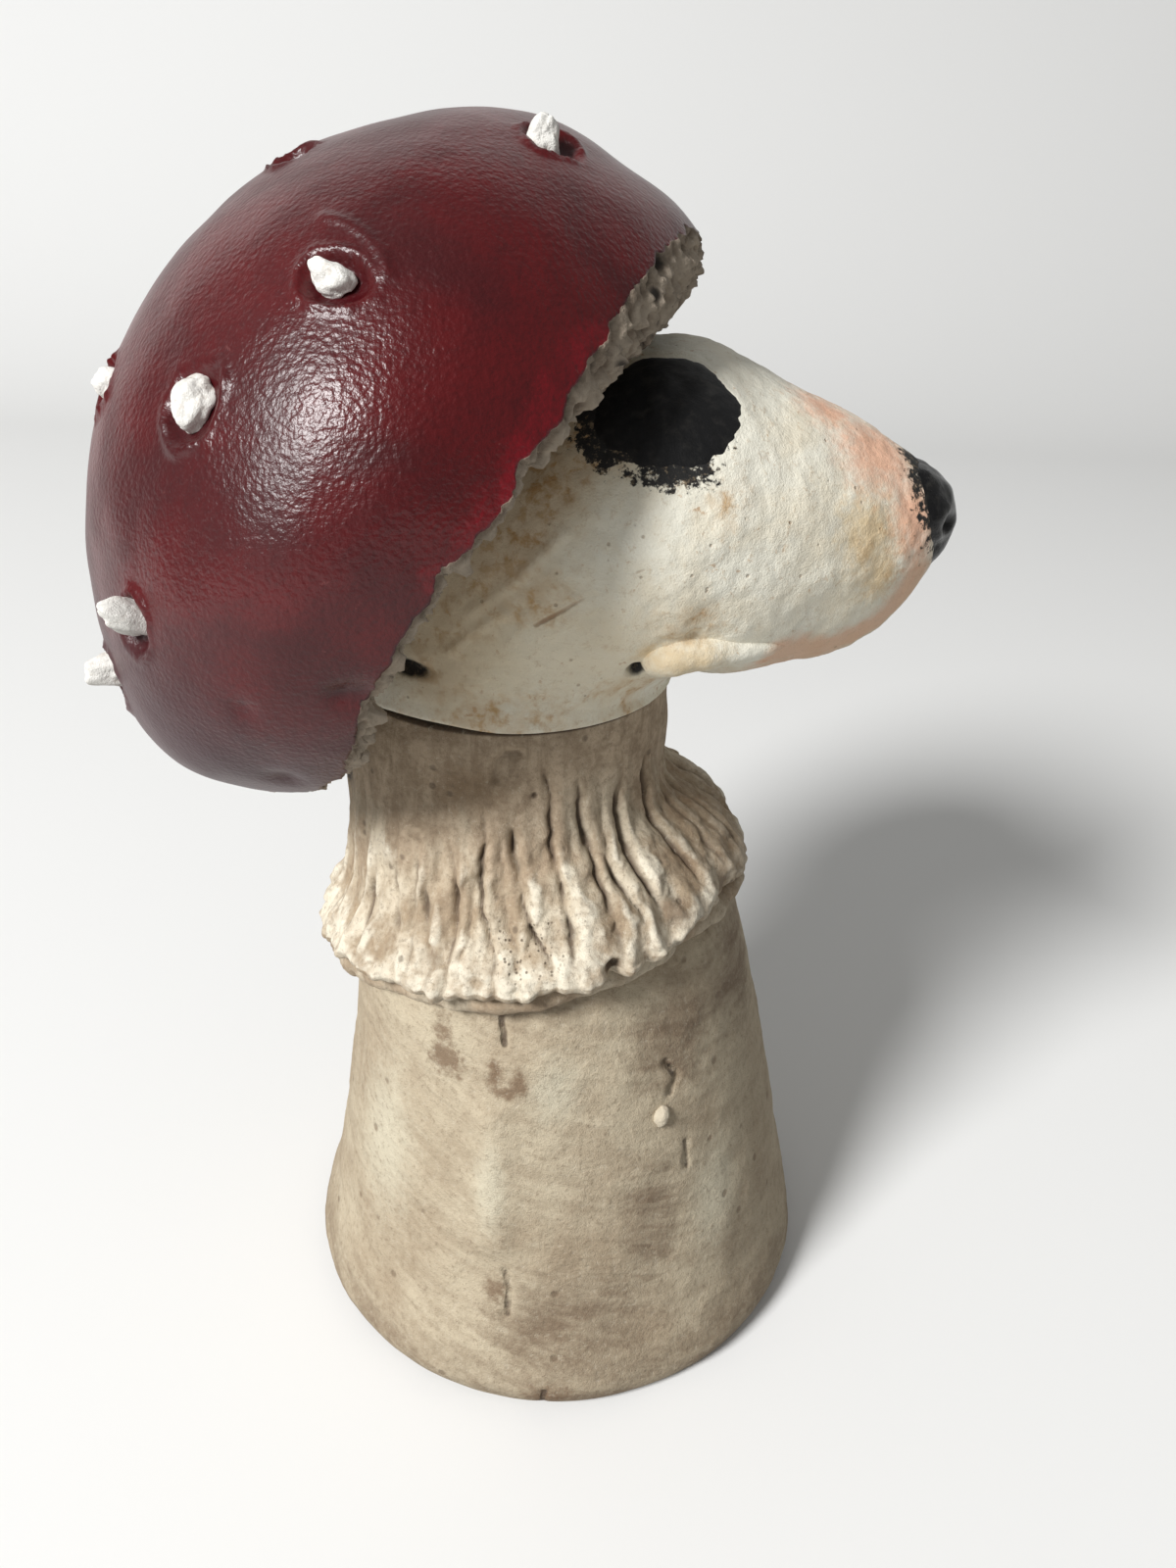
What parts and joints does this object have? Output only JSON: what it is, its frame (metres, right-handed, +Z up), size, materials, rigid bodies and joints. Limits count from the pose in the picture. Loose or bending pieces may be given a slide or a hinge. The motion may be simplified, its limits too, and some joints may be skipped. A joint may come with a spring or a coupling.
{
  "type": "ceramic mushroom figure",
  "caption": "Hand-built ceramic mushroom figure: hollow stalk with a pleated skirt, and a loose long-muzzled animal head, which turns and lifts off, under a red cap with white warts.",
  "frame": {"origin": "centre of the foot's underside, on the surface that the figure stands on", "axes": "+Z up the stalk, +X the way the muzzle points at rest, +Y the figure's left"},
  "size_m": [0.136, 0.109, 0.2088],
  "materials": {
    "stalk_clay": "unglazed buff clay rubbed with a smoky oxide wash, matte",
    "skirt_clay": "unglazed buff clay, oxide wash left in the pleats, cream on the hem, matte",
    "inner_clay": "bare torn clay, rough and matte",
    "white_slip": "white slip over clay with ochre stain and a pink blush, matte",
    "black_glaze": "black underglaze, satin",
    "red_glaze": "deep red glaze with a fine leathery skin, satin",
    "wart_clay": "chalky white clay, matte"
  },
  "bodies": {
    "stalk": {"stalk_wall": "stalk_clay", "base_disc": "inner_clay", "skirt": "skirt_clay", "hem_coil": "skirt_clay", "clay_pellet": "wart_clay"},
    "ring": {"locating_ring": "inner_clay"},
    "head": {"head_shell": "white_slip", "nose": "black_glaze", "left_eye": "black_glaze", "right_eye": "black_glaze", "left_lip": "white_slip", "right_lip": "white_slip", "cap_shell": "red_glaze", "cap_bed": "inner_clay", "cap_wart_01": "wart_clay", "cap_wart_02": "wart_clay", "cap_wart_03": "wart_clay", "cap_wart_04": "wart_clay", "cap_wart_05": "wart_clay", "cap_wart_06": "wart_clay", "cap_wart_07": "wart_clay", "cap_wart_08": "wart_clay", "cap_wart_09": "wart_clay", "cap_wart_10": "wart_clay", "cap_wart_11": "wart_clay", "cap_wart_12": "wart_clay", "cap_wart_13": "wart_clay"}
  },
  "joints": [
    {"name": "head_lift", "type": "slide", "parent": "stalk", "child": "ring", "axis": [0, 0, 1], "range_m": [0, 0.06]},
    {"name": "head_turn", "type": "hinge", "parent": "ring", "child": "head", "pos_m": [-0.0106, 0, 0.127], "axis": [0, 0, 1], "range_deg": [-100, 100]}
  ]
}
